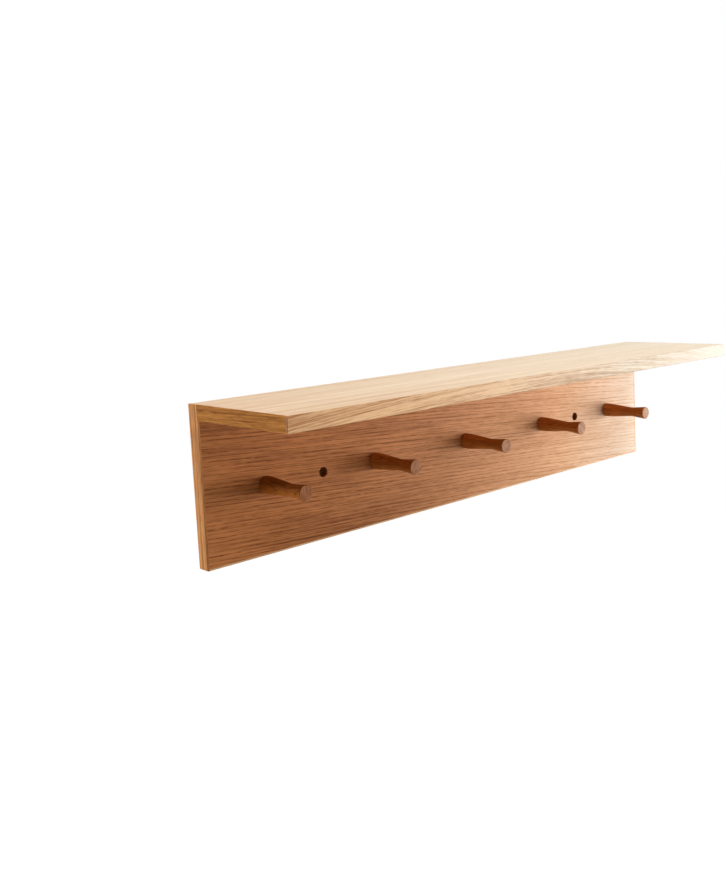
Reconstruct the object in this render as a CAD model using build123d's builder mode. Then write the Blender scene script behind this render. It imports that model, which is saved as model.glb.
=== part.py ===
from build123d import *
import os

# A shaker peg rail with a shelf. The back board hangs flat against the wall and carries a row of
# turned pegs. The shelf butts against the top of its front face, held on hidden dowels. Both
# boards are veneered cores with solid wood bands round their edges.
#
# Frame, in millimetres: the origin is on the back face, midway between the two wall screws.
# +X runs along the rail, +Y points into the wall and +Z is up, so what stands out from the wall
# lies towards -Y. Planes parallel to the wall are Plane.XZ offset by their distance from it.

# ---- Both boards ----
rail_length = 800.0  # left end to right end
veneer_thickness = 0.5
band_thickness = 2.0  # solid wood glued round the edges
arris_width = 0.5  # sanded outer edges of the bands

# ---- Back board ----
board_height = 178.0  # bottom edge to top edge
board_core_thickness = 16.0

# ---- Shelf ----
shelf_projection = 157.0  # front face of the back board to the shelf's front edge
shelf_core_thickness = 16.0

# ---- Wall screw holes, counterbored from the front ----
screw_spacing = 480.0
screw_height = 79.0  # above the bottom edge
screw_hole_diameter = 5.0
counterbore_diameter = 12.0
counterbore_depth = 8.0

# ---- Pegs: a round base on the board, a straight taper to the waist, then a straight flare to the tip ----
peg_count = 5
peg_spacing = 160.0
peg_height = 79.0  # above the bottom edge
peg_length = 72.0  # shoulder to tip
peg_base_diameter = 20.0
peg_base_length = 10.0  # cylinder next to the board
peg_waist_diameter = 13.2  # where the taper meets the flare, before the hollow is rounded
peg_waist_distance = 48.0  # from the shoulder
peg_hollow_radius = 40.0  # rounds the meeting of the taper and the flare
peg_tip_diameter = 18.0
peg_base_chamfer = 1.2
peg_tip_chamfer = 0.6
tenon_diameter = 12.0
tenon_chamfer = 1.0

# ---- Dowels between the boards ----
dowel_count = 5
dowel_spacing = 170.0
dowel_diameter = 8.0
dowel_length = 30.0
dowel_chamfer = 1.0

# ---- Glued fits ----
glue_clearance = 0.05  # on the radius, round a tenon or a dowel
end_gap = 1.0  # free depth beyond the end of a tenon or a dowel
blind_cover = 3.0  # wood left behind a blind hole in the back board

# ---- Places worked out from the sizes above ----
board_thickness = board_core_thickness + 2 * veneer_thickness
shelf_thickness = shelf_core_thickness + 2 * veneer_thickness
board_bottom = -screw_height
board_top = board_bottom + board_height
board_middle = (board_bottom + board_top) / 2
shelf_underside = board_top - shelf_thickness
shelf_middle = board_top - shelf_thickness / 2
shelf_front = board_thickness + shelf_projection  # out from the wall
peg_line = board_bottom + peg_height

panel_length = rail_length - 2 * band_thickness
board_panel_height = board_height - 2 * band_thickness
shelf_panel_depth = shelf_projection - band_thickness
shelf_panel_middle = -(board_thickness + shelf_panel_depth / 2)

waist = (peg_waist_distance, peg_waist_diameter / 2)  # along a peg and out from its axis

tenon_hole_radius = tenon_diameter / 2 + glue_clearance
dowel_hole_radius = dowel_diameter / 2 + glue_clearance
blind_depth = board_thickness - blind_cover  # from the back board's front face
core_blind_depth = blind_depth - veneer_thickness  # the part of it inside the core
tenon_length = blind_depth - end_gap
dowel_in_board = blind_depth - end_gap
shelf_hole_depth = dowel_length - dowel_in_board + end_gap


def centred_row(count, spacing):
    """Places along X of a row of equal spaces about the middle of the rail."""
    return [(index - (count - 1) / 2) * spacing for index in range(count)]


peg_places = centred_row(peg_count, peg_spacing)
dowel_places = centred_row(dowel_count, dowel_spacing)
screw_places = centred_row(2, screw_spacing)

peg_points = [(x, peg_line) for x in peg_places]
dowel_points = [(x, shelf_middle) for x in dowel_places]
screw_points = [(x, 0) for x in screw_places]

wall_plane = Plane.XZ
core_rear_plane = Plane.XZ.offset(veneer_thickness)
core_front_plane = Plane.XZ.offset(veneer_thickness + board_core_thickness)
board_front_plane = Plane.XZ.offset(board_thickness)

os.makedirs("parts", exist_ok=True)

# ---- Back board panel: a core between two veneers ----
with BuildPart() as back_board_core:
    with BuildSketch(core_rear_plane):
        with Locations((0, board_middle)):
            Rectangle(panel_length, board_panel_height)
    extrude(amount=board_core_thickness)
    with Locations(core_front_plane):
        with Locations(*peg_points):
            Hole(tenon_hole_radius, depth=core_blind_depth)
        with Locations(*dowel_points):
            Hole(dowel_hole_radius, depth=core_blind_depth)
        with Locations(*screw_points):
            CounterBoreHole(
                radius=screw_hole_diameter / 2,
                counter_bore_radius=counterbore_diameter / 2,
                counter_bore_depth=counterbore_depth - veneer_thickness,
                depth=board_core_thickness,
            )
back_board_core.part.label = "back_board_core"
export_step(back_board_core.part, "parts/back_board_core.step")

with BuildPart() as back_board_front_veneer:
    with BuildSketch(core_front_plane):
        with Locations((0, board_middle)):
            Rectangle(panel_length, board_panel_height)
        with Locations(*peg_points):
            Circle(tenon_hole_radius, mode=Mode.SUBTRACT)
        with Locations(*dowel_points):
            Circle(dowel_hole_radius, mode=Mode.SUBTRACT)
        with Locations(*screw_points):
            Circle(counterbore_diameter / 2, mode=Mode.SUBTRACT)
    extrude(amount=veneer_thickness)
back_board_front_veneer.part.label = "back_board_front_veneer"
export_step(back_board_front_veneer.part, "parts/back_board_front_veneer.step")

with BuildPart() as back_board_rear_veneer:
    with BuildSketch(wall_plane):
        with Locations((0, board_middle)):
            Rectangle(panel_length, board_panel_height)
        with Locations(*screw_points):
            Circle(screw_hole_diameter / 2, mode=Mode.SUBTRACT)
    extrude(amount=veneer_thickness)
back_board_rear_veneer.part.label = "back_board_rear_veneer"
export_step(back_board_rear_veneer.part, "parts/back_board_rear_veneer.step")

# ---- Back board bands: the end bands run the full height and cover the long bands' ends ----
for side, side_name in ((-1, "left"), (1, "right")):
    with BuildPart() as back_board_end_band:
        with BuildSketch(wall_plane):
            with Locations((side * (rail_length - band_thickness) / 2, board_middle)):
                Rectangle(band_thickness, board_height)
        extrude(amount=board_thickness)
        glued_face = back_board_end_band.faces().sort_by(Axis.X)[0 if side > 0 else -1]
        chamfer(back_board_end_band.edges() - glued_face.edges(), arris_width)
    back_board_end_band.part.label = f"back_board_{side_name}_band"
    export_step(back_board_end_band.part, f"parts/back_board_{side_name}_band.step")

for edge_name, band_middle in (
    ("bottom", board_bottom + band_thickness / 2),
    ("top", board_top - band_thickness / 2),
):
    with BuildPart() as back_board_long_band:
        with BuildSketch(wall_plane):
            with Locations((0, band_middle)):
                Rectangle(panel_length, band_thickness)
        extrude(amount=board_thickness)
        outer_face = back_board_long_band.faces().sort_by(Axis.Z)[0 if edge_name == "bottom" else -1]
        chamfer(outer_face.edges().filter_by(Axis.X), arris_width)
    back_board_long_band.part.label = f"back_board_{edge_name}_band"
    export_step(back_board_long_band.part, f"parts/back_board_{edge_name}_band.step")

# ---- Shelf panel: a core between two veneers, its bare rear edge against the back board ----
with BuildPart() as shelf_core:
    with BuildSketch(Plane.XY.offset(shelf_underside + veneer_thickness)):
        with Locations((0, shelf_panel_middle)):
            Rectangle(panel_length, shelf_panel_depth)
    extrude(amount=shelf_core_thickness)
    with Locations(Plane(origin=(0, -board_thickness, 0), x_dir=(-1, 0, 0), z_dir=(0, 1, 0))):
        with Locations(*dowel_points):
            Hole(dowel_hole_radius, depth=shelf_hole_depth)
shelf_core.part.label = "shelf_core"
export_step(shelf_core.part, "parts/shelf_core.step")

for face_name, veneer_underside in (
    ("top", board_top - veneer_thickness),
    ("bottom", shelf_underside),
):
    with BuildPart() as shelf_veneer:
        with BuildSketch(Plane.XY.offset(veneer_underside)):
            with Locations((0, shelf_panel_middle)):
                Rectangle(panel_length, shelf_panel_depth)
        extrude(amount=veneer_thickness)
    shelf_veneer.part.label = f"shelf_{face_name}_veneer"
    export_step(shelf_veneer.part, f"parts/shelf_{face_name}_veneer.step")

# ---- Shelf bands: the front lipping runs the full length and covers the end bands' ends ----
with BuildPart() as shelf_front_lipping:
    with BuildSketch(Plane.XZ.offset(shelf_front - band_thickness)):
        with Locations((0, shelf_middle)):
            Rectangle(rail_length, shelf_thickness)
    extrude(amount=band_thickness)
    glued_face = shelf_front_lipping.faces().sort_by(Axis.Y)[-1]
    chamfer(shelf_front_lipping.edges() - glued_face.edges(), arris_width)
shelf_front_lipping.part.label = "shelf_front_lipping"
export_step(shelf_front_lipping.part, "parts/shelf_front_lipping.step")

for side, side_name in ((-1, "left"), (1, "right")):
    with BuildPart() as shelf_end_band:
        with BuildSketch(board_front_plane):
            with Locations((side * (rail_length - band_thickness) / 2, shelf_middle)):
                Rectangle(band_thickness, shelf_thickness)
        extrude(amount=shelf_panel_depth)
        outer_face = shelf_end_band.faces().sort_by(Axis.X)[-1 if side > 0 else 0]
        chamfer(outer_face.edges().filter_by(Axis.Y), arris_width)
    shelf_end_band.part.label = f"shelf_{side_name}_band"
    export_step(shelf_end_band.part, f"parts/shelf_{side_name}_band.step")

# ---- Pegs: turned about their own axes, each with a tenon glued into the back board ----
for number, place in enumerate(peg_places, start=1):
    with BuildPart() as peg:
        # Local x runs out from the board's front face along the peg, local y is the radius.
        peg_plane = Plane(origin=(place, -board_thickness, peg_line), x_dir=(0, -1, 0), z_dir=(-1, 0, 0))
        with BuildSketch(peg_plane) as profile:
            with BuildLine():
                Polyline(
                    (-tenon_length, 0),
                    (-tenon_length, tenon_diameter / 2 - tenon_chamfer),
                    (-tenon_length + tenon_chamfer, tenon_diameter / 2),
                    (0, tenon_diameter / 2),
                    (0, peg_base_diameter / 2 - peg_base_chamfer),
                    (peg_base_chamfer, peg_base_diameter / 2),
                    (peg_base_length, peg_base_diameter / 2),
                    waist,
                    (peg_length - peg_tip_chamfer, peg_tip_diameter / 2),
                    (peg_length, peg_tip_diameter / 2 - peg_tip_chamfer),
                    (peg_length, 0),
                    close=True,
                )
            make_face()
            fillet(profile.vertices().sort_by_distance(waist)[0], peg_hollow_radius)
        revolve(axis=Axis((place, 0, peg_line), (0, -1, 0)))
    peg.part.label = f"peg_{number}"
    export_step(peg.part, f"parts/peg_{number}.step")

# ---- Dowels: part in the back board and part in the shelf's rear edge ----
with BuildPart() as shelf_dowels:
    with BuildSketch(Plane.XZ.offset(board_thickness - dowel_in_board)):
        with Locations(*dowel_points):
            Circle(dowel_diameter / 2)
    extrude(amount=dowel_length)
    chamfer(shelf_dowels.edges().filter_by(GeomType.CIRCLE), dowel_chamfer)
shelf_dowels.part.label = "shelf_dowels"
export_step(shelf_dowels.part, "parts/shelf_dowels.step")
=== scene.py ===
"""The looks of an oak peg rail with a shelf: veneered boards, solid edge bands and turned pegs.

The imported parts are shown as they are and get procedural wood. Metres throughout, in the part's
own frame: X along the rail, Y into the wall, Z up.
"""

import math

import bpy
from mathutils import Matrix, Vector


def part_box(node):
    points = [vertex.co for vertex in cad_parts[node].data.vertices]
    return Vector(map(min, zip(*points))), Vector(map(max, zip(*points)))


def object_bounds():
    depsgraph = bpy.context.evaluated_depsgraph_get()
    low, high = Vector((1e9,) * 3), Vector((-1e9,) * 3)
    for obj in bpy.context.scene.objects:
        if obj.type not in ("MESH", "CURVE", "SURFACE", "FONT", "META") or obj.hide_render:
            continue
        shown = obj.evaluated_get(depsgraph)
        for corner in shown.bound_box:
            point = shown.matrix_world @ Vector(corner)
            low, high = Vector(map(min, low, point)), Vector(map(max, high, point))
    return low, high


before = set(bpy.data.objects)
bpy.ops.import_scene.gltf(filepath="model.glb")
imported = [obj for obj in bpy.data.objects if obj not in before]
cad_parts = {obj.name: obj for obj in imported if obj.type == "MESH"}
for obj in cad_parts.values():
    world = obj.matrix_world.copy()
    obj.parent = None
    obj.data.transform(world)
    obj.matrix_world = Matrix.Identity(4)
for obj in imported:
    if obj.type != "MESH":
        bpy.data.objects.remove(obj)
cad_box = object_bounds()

ALONG, INTO, UP = 0, 1, 2  # the part's axes
rail_low, rail_high = cad_box
peg_names = sorted(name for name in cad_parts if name.startswith("peg_"))

# ---------------------------------------------------------------- camera, fitted to the photo
CAMERA_POSITION = (-0.911917, -0.885511, 0.222724)
CAMERA_HEADING = 43.57  # degrees from +Y towards +X
CAMERA_PITCH = -6.40  # degrees above level
CAMERA_ROLL = -2.58
IMAGE_WIDTH, IMAGE_HEIGHT = 726, 888
FOCAL_LENGTH_PX = 957.88
AXIS_PX = (415.90, 381.81)  # where the lens axis meets the image
SENSOR_WIDTH = 36  # millimetres

# ---------------------------------------------------------------- room
FLOOR_DROP = 1.3  # the rail hangs this far above the floor
FLOOR_SIZE = 16
FLOOR_TONE = 0.80
FLOOR_ROUGHNESS = 0.9
FLOOR_GLOW = 0.82  # the floor's own white to the camera; the lamps add the rest, less the shadow
SKY_STRENGTH = 0.22  # what the sky adds to the light on the rail; to the camera it is plain white
WHITE = (1.0, 1.0, 1.0, 1.0)

# ---------------------------------------------------------------- what all the oak has in common
# How many features a metre each kind of figure has: along the grain, and around it.
FIGURES = {
    "wander": (1.6, 9.0),  # how the rows stray, slowly
    "ripple": (38.0, 70.0),  # and quickly
    "wobble": (0.8, 75.0),  # wide and narrow years
    "fine wobble": (3.0, 210.0),
    "band": (1.8, 100.0),
    "streak": (7.0, 380.0),
    "mottle": (3.0, 26.0),
    "fleck": (70.0, 620.0),
    "fibre": (16.0, 900.0),
    "pore": (80.0, 1400.0),
}
FINE_WOBBLE = 0.4  # as a share of the wobble
PLAIN_TONE = 0.64  # from 0, the dark shade, to 1, the light one

# The rows are broken into dashes, and the dashes gather in patches. Each pair of edges is where the
# noise, which lies about a half, fades from none of a mark to all of it.
DASHES_AROUND = 300.0
DASH_EDGES = (0.38, 0.60)
DASH_FLOOR = 0.3  # what is left of a row between two dashes
DASHES_IN_A_PATCH = 7.5
PATCHES_AROUND = 80.0
PATCH_EDGES = (0.35, 0.65)
PATCH_FLOOR = 0.5  # and between two patches
PORE_EDGES = (0.54, 0.68)
PORES_BETWEEN_ROWS = 0.2  # as a share of those in a row
PORE_FILTER = (0.50, 0.40, 0.30, 1.0)  # a pore's floor is the dark shade seen through this

ROUGHNESS = 0.5
PORE_ROUGHNESS = 0.2  # what a pore adds
FIBRE_ROUGHNESS = 0.06  # how far the fibres swing it
FIBRE_HEIGHT = 0.00003
PORE_HOLLOW = 0.00008
RELIEF_STRENGTH = 0.5

# End grain, on faces that look down the piece's end axis.
END_FACING = (-0.90, -0.99)  # where the normal's share of that axis fades it in
END_PLAIN_TONE = 0.55
END_ROW_DEPTH = 0.6
SPECKS_ACROSS, SPECKS_ALONG = 300.0, 90.0
SPECK_REACH = 0.4
RAYS_ACROSS, RAYS_INTO = 500.0, 60.0
RAY_REACH = 1.0


def srgb(red, green, blue):
    """A colour given in screen values from 0 to 255, as the linear colour that shaders take."""
    linear = []
    for level in (red, green, blue):
        share = level / 255
        linear.append(share / 12.92 if share <= 0.04045 else ((share + 0.055) / 1.055) ** 2.4)
    return (*linear, 1.0)


# ---------------------------------------------------------------- node trees
class Tree:
    """Builds the nodes of a material or a world, one call for each node.

    Inputs take values or other nodes' outputs.
    """

    MIX_SHARE, MIX_FIRST, MIX_SECOND = 0, 6, 7  # a Mix node's inputs for colours
    MIX_RESULT = 2

    def __init__(self, owner):
        self.owner = owner
        owner.use_nodes = True
        self.nodes = owner.node_tree.nodes
        self.links = owner.node_tree.links
        self.nodes.clear()

    def node(self, kind, inputs=None, **settings):
        made = self.nodes.new("ShaderNode" + kind)
        for key, value in settings.items():
            setattr(made, key, value)
        for key, value in (inputs or {}).items():
            socket = made.inputs[key]
            if isinstance(value, bpy.types.NodeSocket):
                self.links.new(value, socket)
            else:
                socket.default_value = value
        return made

    def math(self, operation, first, second=0.0, third=0.0, clamp=False):
        inputs = {0: first, 1: second, 2: third}
        return self.node("Math", inputs, operation=operation, use_clamp=clamp).outputs[0]

    def scaled(self, value, factor, offset=0.0):
        return self.math("MULTIPLY_ADD", value, factor, offset)

    def swing(self, noise, reach):
        """Noise, which lies about a half, as a swing of this reach about nought."""
        return self.scaled(noise, 2 * reach, -reach)

    def total(self, first, *others, clamp=False):
        """The sum, added up in this order. A clamp holds the last one between 0 and 1."""
        for index, other in enumerate(others, 1):
            first = self.math("ADD", first, other, clamp=clamp and index == len(others))
        return first

    def product(self, first, *others):
        for other in others:
            first = self.math("MULTIPLY", first, other)
        return first

    def ramp(self, value, low, high, to_low=0.0, to_high=1.0):
        """A smooth step from to_low to to_high as value goes from low to high."""
        inputs = {"Value": value, "From Min": low, "From Max": high,
                  "To Min": to_low, "To Max": to_high}
        return self.node("MapRange", inputs, interpolation_type="SMOOTHSTEP").outputs[0]

    def mix(self, share, first, second, blend="MIX"):
        inputs = {self.MIX_SHARE: share, self.MIX_FIRST: first, self.MIX_SECOND: second}
        made = self.node("Mix", inputs, data_type="RGBA", blend_type=blend)
        return made.outputs[self.MIX_RESULT]

    def noise(self, x, y, z, detail=2.0):
        vector = self.node("CombineXYZ", {0: x, 1: y, 2: z}).outputs[0]
        inputs = {"Vector": vector, "Scale": 1.0, "Detail": detail}
        return self.node("TexNoise", inputs, noise_dimensions="3D").outputs[0]

    def seen_share(self):
        """One for the rays that the camera, a mirror or a pane sends, and nought for the rest."""
        ray = self.node("LightPath").outputs
        direct = self.math("MAXIMUM", ray["Is Camera Ray"], ray["Is Glossy Ray"])
        return self.math("MAXIMUM", direct, ray["Is Transmission Ray"])


def oak(name, grain, origin, dark, light, *, drift=1.0, spacing=0.0042, line=0.5, row_depth=0.4,
        pore_depth=0.3, band=0.3, streak=0.4, mottle=0.3, fibre=0.3, fleck=0.3, dashes=30.0,
        wobble=3.0, slope=0.0, wander=0.006, ripple=0.0006, tilt=0.0, gloss=0.2, bend=None,
        tint=None, end_axis=None, end_dark=None, end_light=None):
    """Oiled oak with rows of open pores, one row for each year's growth.

    grain: the axes along the grain, across it and into it
    origin: moves the piece to its own place in the wood
    dark, light: shades of the rows and of the wood between them, each a list of one or more that
        are set evenly along the rail, from its left end to its right
    drift: the power that bends the way along the rail; over one, the shades change later
    spacing, line: from row to row, and the share of that which a row takes
    row_depth, pore_depth: how dark the rows are, and the pores in them
    band, streak, mottle, fibre, fleck: how far each kind of figure swings the tone
    dashes: how many a metre a row is broken into
    wobble: by how many rows wide and narrow years shift them
    slope: how far the rows run to the side for each metre along the grain
    wander, ripple: how far they stray, slowly and quickly
    tilt: turns the rings about the grain, in radians
    gloss: the shader's specular level
    bend, tint: each takes the tree and the place, and adds to the rings' place or to the tone;
        the tints given here add painted light and shade, with some darker wood
    end_axis, end_dark, end_light: faces that look down this axis are end grain in these shades
    """
    tree = Tree(bpy.data.materials.new(name))
    place = tree.node("SeparateXYZ", {0: tree.node("TexCoord").outputs["Object"]}).outputs
    u, flat, deep = (tree.math("ADD", place[axis], shift) for axis, shift in zip(grain, origin))
    cosine, sine = math.cos(tilt), math.sin(tilt)
    v = tree.math("ADD", tree.scaled(flat, cosine), tree.scaled(deep, sine))
    w = tree.math("SUBTRACT", tree.scaled(deep, cosine), tree.scaled(flat, sine))
    way = tree.node("MapRange", {"Value": place[ALONG], "From Min": rail_low.x,
                                 "From Max": rail_high.x}).outputs[0]
    way = tree.math("POWER", way, drift)

    def field(across, features, detail=1.0):
        """Noise with this many features a metre along the grain and around it."""
        along, around = features
        return tree.noise(tree.scaled(u, along), tree.scaled(across, around),
                          tree.scaled(w, around), detail)

    def shade(shades):
        """The shade at this place along the rail; where the shades grow paler to the right, that
        change is painted light and painted sheen.
        """
        made = tree.node("ValToRGB", {0: way})
        stops = made.color_ramp.elements
        stops[0].color, stops[1].color = srgb(*shades[0]), srgb(*shades[-1])
        for index, between in enumerate(shades[1:-1], 1):
            stops.new(index / (len(shades) - 1)).color = srgb(*between)
        return made.outputs[0]

    ring = tree.total(v, tree.scaled(u, slope), tree.swing(field(v, FIGURES["wander"]), wander),
                      tree.swing(field(v, FIGURES["ripple"]), ripple))
    if bend:
        ring = tree.math("ADD", ring, bend(tree, place))
    years = tree.total(tree.scaled(ring, 1 / spacing),
                       tree.scaled(field(ring, FIGURES["wobble"]), wobble),
                       tree.scaled(field(ring, FIGURES["fine wobble"]), FINE_WOBBLE * wobble))
    season = tree.scaled(tree.math("PINGPONG", years, 0.5), 2.0)  # up to 1 and back in a year
    dash = tree.ramp(field(ring, (dashes, DASHES_AROUND)), *DASH_EDGES, to_low=DASH_FLOOR)
    patch = tree.ramp(field(ring, (dashes / DASHES_IN_A_PATCH, PATCHES_AROUND)), *PATCH_EDGES,
                      to_low=PATCH_FLOOR)
    row = tree.product(tree.ramp(season, 1 - line, 1.0), tree.product(dash, patch))
    pore = tree.product(tree.ramp(field(ring, FIGURES["pore"]), *PORE_EDGES),
                        tree.scaled(row, 1 - PORES_BETWEEN_ROWS, PORES_BETWEEN_ROWS))
    fibres = field(ring, FIGURES["fibre"], detail=2.0)

    tones = [tree.scaled(row, -row_depth, PLAIN_TONE)]
    for kind, reach in {"band": band, "streak": streak, "mottle": mottle, "fleck": fleck}.items():
        tones.append(tree.swing(field(ring, FIGURES[kind], detail=2.0), reach))
    if tint:
        tones.append(tint(tree, place))
    tones.append(tree.swing(fibres, fibre))
    wood = tree.mix(tree.total(*tones, clamp=True), shade(dark), shade(light))

    if end_axis is not None:
        normal = tree.node("SeparateXYZ", {0: tree.node("TexCoord").outputs["Normal"]}).outputs
        specks = tree.noise(tree.scaled(flat, SPECKS_ACROSS), tree.scaled(deep, SPECKS_ACROSS),
                            tree.scaled(u, SPECKS_ALONG))
        rays = tree.noise(tree.scaled(v, RAYS_ACROSS), tree.scaled(w, RAYS_INTO), u)
        tone = tree.total(tree.scaled(row, -END_ROW_DEPTH, END_PLAIN_TONE),
                          tree.swing(specks, SPECK_REACH), tree.swing(rays, RAY_REACH), clamp=True)
        wood = tree.mix(tree.ramp(normal[end_axis], *END_FACING), wood,
                        tree.mix(tone, shade(end_dark), shade(end_light)))

    hollow = tree.mix(1.0, shade(dark), PORE_FILTER, blend="MULTIPLY")
    colour = tree.mix(tree.scaled(pore, pore_depth), wood, hollow)
    height = tree.math("SUBTRACT", tree.scaled(fibres, FIBRE_HEIGHT),
                       tree.scaled(pore, PORE_HOLLOW))
    relief = tree.node("Bump", {"Strength": RELIEF_STRENGTH, "Distance": 1.0, "Height": height})
    roughness = tree.math("ADD", tree.scaled(pore, PORE_ROUGHNESS, ROUGHNESS),
                          tree.swing(fibres, FIBRE_ROUGHNESS))
    shader = tree.node("BsdfPrincipled", {"Base Color": colour, "Roughness": roughness,
                                          "Normal": relief.outputs[0],
                                          "Specular IOR Level": gloss})
    tree.node("OutputMaterial", {"Surface": shader.outputs[0]})
    return tree.owner


def dress(node, material):
    """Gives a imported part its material, in every slot that it has."""
    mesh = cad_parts[node].data
    if mesh.materials:
        for index in range(len(mesh.materials)):
            mesh.materials[index] = material
    else:
        mesh.materials.append(material)


# ---------------------------------------------------------------- the boards
def front_painted_light_and_shade(tree, place):
    """The front is darker along the lower edge left of the middle, partly painted shade and partly
    darker wood, and lighter at the left end from just above the pegs down, which is painted light
    over the first peg's cast shadow.
    """
    # partly painted shade, partly darker wood: a darker patch along the lower edge
    patch = tree.product(tree.ramp(place[UP], -0.025, -0.080),  # fades in downwards,
                         tree.ramp(place[ALONG], -0.37, -0.28),  # in from the left end
                         tree.ramp(place[ALONG], 0.06, -0.14))  # and out round the middle
    # painted light: the left end is lifted where the first peg's shadow falls
    end = tree.product(tree.ramp(place[ALONG], -0.33, -0.39), tree.ramp(place[UP], 0.04, 0.01))
    darker, lighter = -0.27, 0.15
    return tree.total(tree.scaled(patch, darker), tree.scaled(end, lighter))


def lipping_figure(tree, place):
    """Flat-sawn figure: the rows climb from the left end to one long arch and fall faster after."""
    crown = 0.02  # the arch's place along the rail
    from_crown = tree.math("ADD", place[ALONG], -crown)
    steepness = tree.ramp(place[ALONG], -0.05, 0.12, to_low=0.09, to_high=0.30)
    return tree.product(from_crown, from_crown, steepness)


# The front's shades grow paler and greyer from the left end to the right: painted light and painted
# sheen.
front_oak = oak("front_veneer_oak", (ALONG, UP, INTO), (0.0, 0.0, 0.3),
                dark=[(114, 61, 25), (174, 120, 77), (186, 152, 116)],
                light=[(193, 123, 70), (220, 172, 132), (211, 195, 179)],
                drift=2.3, spacing=0.0048, line=0.36, row_depth=0.9, band=0.15, streak=0.3,
                mottle=0.2, fibre=0.7, fleck=0.4, dashes=80.0, wobble=1.2, slope=0.07, gloss=0.06,
                tint=front_painted_light_and_shade)
rear_oak = oak("rear_veneer_oak", (ALONG, UP, INTO), (1.3, 0.4, 0.9),
               dark=[(150, 98, 58)], light=[(210, 160, 112)], slope=-0.04)
# The shelf top's shades grow paler towards the right end: painted light and painted sheen.
top_oak = oak("shelf_top_oak", (ALONG, INTO, UP), (2.1, 0.2, 0.5),
              dark=[(214, 170, 124), (209, 192, 165)], light=[(245, 216, 183), (229, 214, 192)],
              drift=0.8, row_depth=0.45, pore_depth=0.2, band=0.5, streak=0.7, fibre=0.5,
              slope=0.02, gloss=0.1)
under_oak = oak("shelf_under_oak", (ALONG, INTO, UP), (3.7, 0.6, 0.1),
                dark=[(176, 124, 80)], light=[(218, 176, 132)], row_depth=0.3)
# The lipping's shades grow paler and greyer towards the right end: painted light and painted sheen.
lipping_oak = oak("shelf_lipping_oak", (ALONG, UP, INTO), (4.9, 0.9, 0.7),
                  dark=[(162, 106, 63), (163, 138, 110), (187, 175, 159)],
                  light=[(222, 178, 131), (202, 190, 171), (192, 180, 168)],
                  drift=1.9, spacing=0.0023, row_depth=0.5, band=0.6, streak=0.8, fibre=1.0,
                  fleck=0.5, dashes=60.0, wander=0.003, gloss=0.1, bend=lipping_figure,
                  end_axis=ALONG, end_dark=[(140, 84, 52)], end_light=[(206, 142, 100)])
upright_oak = oak("upright_band_oak", (UP, INTO, ALONG), (0.7, 1.9, 0.2),
                  dark=[(148, 86, 42)], light=[(238, 170, 108)], spacing=0.0062, line=0.6,
                  row_depth=0.5, wander=0.002, streak=1.0, fleck=0.5, gloss=0.05)
level_oak = oak("level_band_oak", (ALONG, INTO, UP), (1.7, 2.9, 0.2),
                dark=[(176, 124, 80)], light=[(222, 180, 134)])
end_oak = oak("shelf_end_oak", (INTO, UP, ALONG), (2.7, 3.9, 0.2),
              dark=[(122, 66, 19)], light=[(215, 145, 70)], spacing=0.0052, line=0.9,
              wander=0.003, row_depth=0.5, band=0.4, streak=0.7, fleck=0.4, slope=0.03, gloss=0.05)
core_oak = oak("raw_core", (ALONG, UP, INTO), (5.1, 0.1, 0.4),
               dark=[(88, 48, 24)], light=[(166, 105, 58)])

for node, material in {
    "back_board_core": core_oak,
    "back_board_front_veneer": front_oak,
    "back_board_rear_veneer": rear_oak,
    "back_board_left_band": upright_oak,
    "back_board_right_band": upright_oak,
    "back_board_bottom_band": level_oak,
    "back_board_top_band": top_oak,
    "shelf_core": core_oak,
    "shelf_top_veneer": top_oak,
    "shelf_bottom_veneer": under_oak,
    "shelf_front_lipping": lipping_oak,
    "shelf_left_band": end_oak,
    "shelf_right_band": end_oak,
    "shelf_dowels": core_oak,
}.items():
    dress(node, material)

# ---------------------------------------------------------------- the pegs
PEG_STEP = 1.1  # from one peg's place in the wood to the next one's
GOLDEN_ANGLE = math.pi * (3 - math.sqrt(5))  # turns each peg's rings away from the last one's


def first_peg_painted_light_and_shade(tree, place):
    """The first peg is paler below and darker above: painted light from below and painted shade
    under the shelf.
    """
    return tree.ramp(place[UP], -0.007, 0.006, to_low=0.45, to_high=-0.35)


# The pegs' shades, and their ends' most of all, grow paler from the left peg to the right one:
# painted light and painted sheen.
for index, name in enumerate(peg_names):
    low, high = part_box(name)
    middle = (low + high) / 2
    peg_oak = oak(name + "_oak", (INTO, ALONG, UP), (index * PEG_STEP, -middle.x, -middle.z),
                  dark=[(104, 52, 12), (128, 66, 22)], light=[(178, 106, 42), (190, 115, 50)],
                  spacing=0.0022, band=0.2, streak=0.5, mottle=0.15, tilt=GOLDEN_ANGLE * index,
                  wander=0.0004, ripple=0.0001, gloss=0.08,
                  tint=first_peg_painted_light_and_shade if index == 0 else None, end_axis=INTO,
                  end_dark=[(118, 62, 32), (146, 107, 82)],
                  end_light=[(178, 112, 64), (192, 155, 128)])
    dress(name, peg_oak)

# ---------------------------------------------------------------- camera
camera_data = bpy.data.cameras.new("camera")
camera = bpy.data.objects.new("camera", camera_data)
bpy.context.scene.collection.objects.link(camera)
long_side = max(IMAGE_WIDTH, IMAGE_HEIGHT)
camera_data.sensor_width = SENSOR_WIDTH
camera_data.lens = FOCAL_LENGTH_PX * SENSOR_WIDTH / long_side
camera_data.shift_x = (IMAGE_WIDTH / 2 - AXIS_PX[0]) / long_side
camera_data.shift_y = (AXIS_PX[1] - IMAGE_HEIGHT / 2) / long_side
turn = Matrix.Rotation(math.radians(-CAMERA_HEADING), 4, "Z")
nod = Matrix.Rotation(math.radians(90 + CAMERA_PITCH), 4, "X")
roll = Matrix.Rotation(math.radians(CAMERA_ROLL), 4, "Z")
camera.matrix_world = Matrix.Translation(CAMERA_POSITION) @ turn @ nod @ roll
bpy.context.scene.camera = camera

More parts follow.
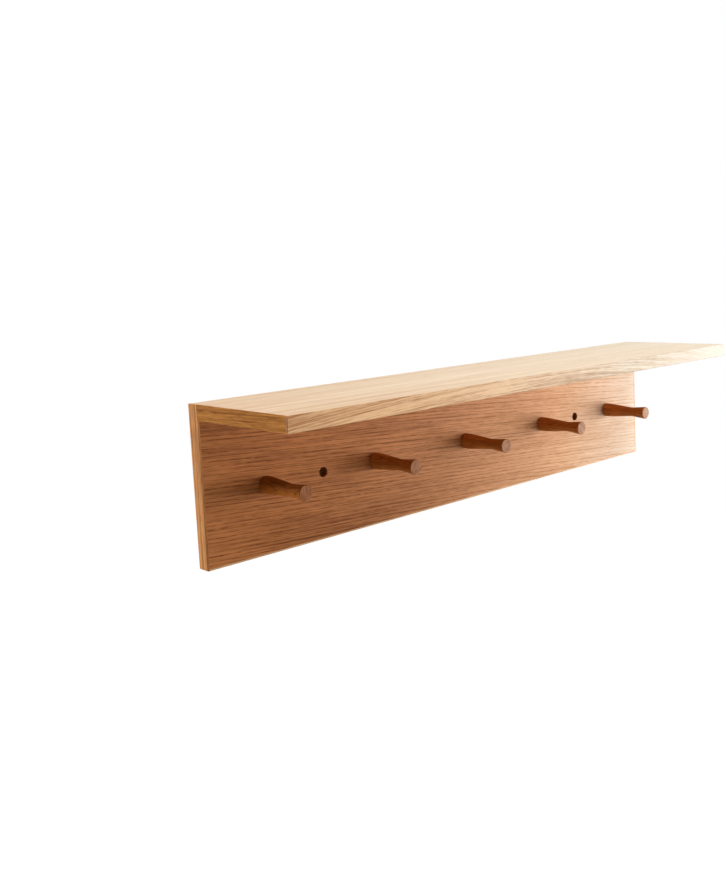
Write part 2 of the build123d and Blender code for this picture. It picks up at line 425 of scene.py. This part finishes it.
# ---------------------------------------------------------------- floor and sky
ground = Tree(bpy.data.materials.new("pale_floor"))
lit = ground.node("BsdfPrincipled", {"Base Color": (FLOOR_TONE, FLOOR_TONE, FLOOR_TONE, 1.0),
                                     "Roughness": FLOOR_ROUGHNESS, "Specular IOR Level": 0.0})
glow = ground.node("Emission", {"Strength": ground.scaled(ground.seen_share(), FLOOR_GLOW)})
both = ground.node("AddShader", {0: lit.outputs[0], 1: glow.outputs[0]})
ground.node("OutputMaterial", {"Surface": both.outputs[0]})

floor_mesh = bpy.data.meshes.new("floor")
reach = FLOOR_SIZE / 2
floor_mesh.from_pydata([(-reach, -reach, 0), (reach, -reach, 0), (reach, reach, 0),
                        (-reach, reach, 0)], [], [(0, 1, 2, 3)])
floor = bpy.data.objects.new("floor", floor_mesh)
floor.location.z = rail_low.z - FLOOR_DROP
floor_mesh.materials.append(ground.owner)
bpy.context.scene.collection.objects.link(floor)

sky = Tree(bpy.data.worlds.new("studio"))
strength = sky.node("MapRange", {"Value": sky.seen_share(), "To Min": SKY_STRENGTH})
backdrop = sky.node("Background", {"Color": WHITE, "Strength": strength.outputs[0]})
sky.node("OutputWorld", {"Surface": backdrop.outputs[0]})
bpy.context.scene.world = sky.owner


# ---------------------------------------------------------------- lamps
def soft_lamp(name, position, aim, width, height, power):
    """A white soft box at position that faces aim."""
    data = bpy.data.lights.new(name, "AREA")
    data.shape = "RECTANGLE"
    data.size = width
    data.size_y = height
    data.energy = power
    lamp = bpy.data.objects.new(name, data)
    lamp.location = position
    lamp.rotation_euler = (Vector(aim) - Vector(position)).to_track_quat("-Z", "Y").to_euler()
    lamp.visible_camera = False
    bpy.context.scene.collection.objects.link(lamp)


soft_lamp("key", position=(0.85, -0.75, -0.05), aim=(0.1, 0.0, 0.0),
          width=1.4, height=0.5, power=15.5)
soft_lamp("over_front", position=(0.5, -0.85, 1.6), aim=(0.1, -0.1, 0.1),
          width=0.8, height=0.8, power=31)
soft_lamp("rear_left", position=(-2.0, 1.0, 0.4), aim=(-0.3, 0.0, 0.0),
          width=1.2, height=1.2, power=24)

bpy.context.scene.view_settings.view_transform = "Standard"
